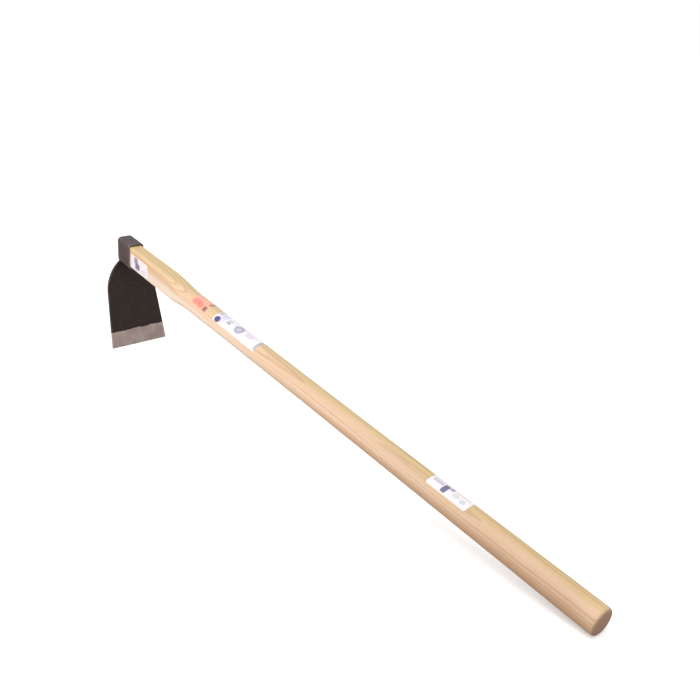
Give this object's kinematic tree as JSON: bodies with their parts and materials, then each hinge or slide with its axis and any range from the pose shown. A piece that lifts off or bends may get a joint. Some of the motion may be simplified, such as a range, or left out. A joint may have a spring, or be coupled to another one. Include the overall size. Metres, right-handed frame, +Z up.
{
  "type": "draw hoe",
  "caption": "Garden draw hoe: a flared forged blade with a ground cutting edge, welded under a rectangular socket that is wedged onto a long ash handle.",
  "frame": {"origin": "on the ground, under the middle of the bounding box of the tool as it rests on its cutting edge and the underside of its butt", "axes": "+X from the head towards the butt of the handle, +Y to the right hand of a person who stands at the butt and looks at the head, +Z up; the tool's plane of symmetry is Y = 0"},
  "size_m": [1.0428, 0.1076, 0.2012],
  "materials": {
    "coated_steel": "thin dark brown-black coating over forged steel, satin, slightly uneven",
    "socket_steel": "thin purple-grey coating over forged steel, satin, lighter along the worn corners",
    "ground_steel": "bare steel with grinding lines across the bevel",
    "weld_metal": "coated weld bead with ripples",
    "ash_wood": "smooth clear-coated ash with long straight grain",
    "wedge_wood": "dry hardwood, end grain outwards",
    "wedge_steel": "dull plain steel with hammer marks",
    "white_sticker": "smooth white label with soft abstract marks",
    "red_sticker": "smooth red label with soft abstract marks"
  },
  "bodies": {
    "root": {"eye_socket": "socket_steel", "handle": "ash_wood", "wood_wedge": "wedge_wood", "steel_wedge": "wedge_steel", "inner_weld": "weld_metal", "outer_weld": "weld_metal", "blade_body": "coated_steel", "cutting_steel": "ground_steel", "eye_label": "white_sticker", "red_label": "red_sticker", "long_label": "white_sticker", "small_label": "white_sticker"}
  },
  "joints": []
}
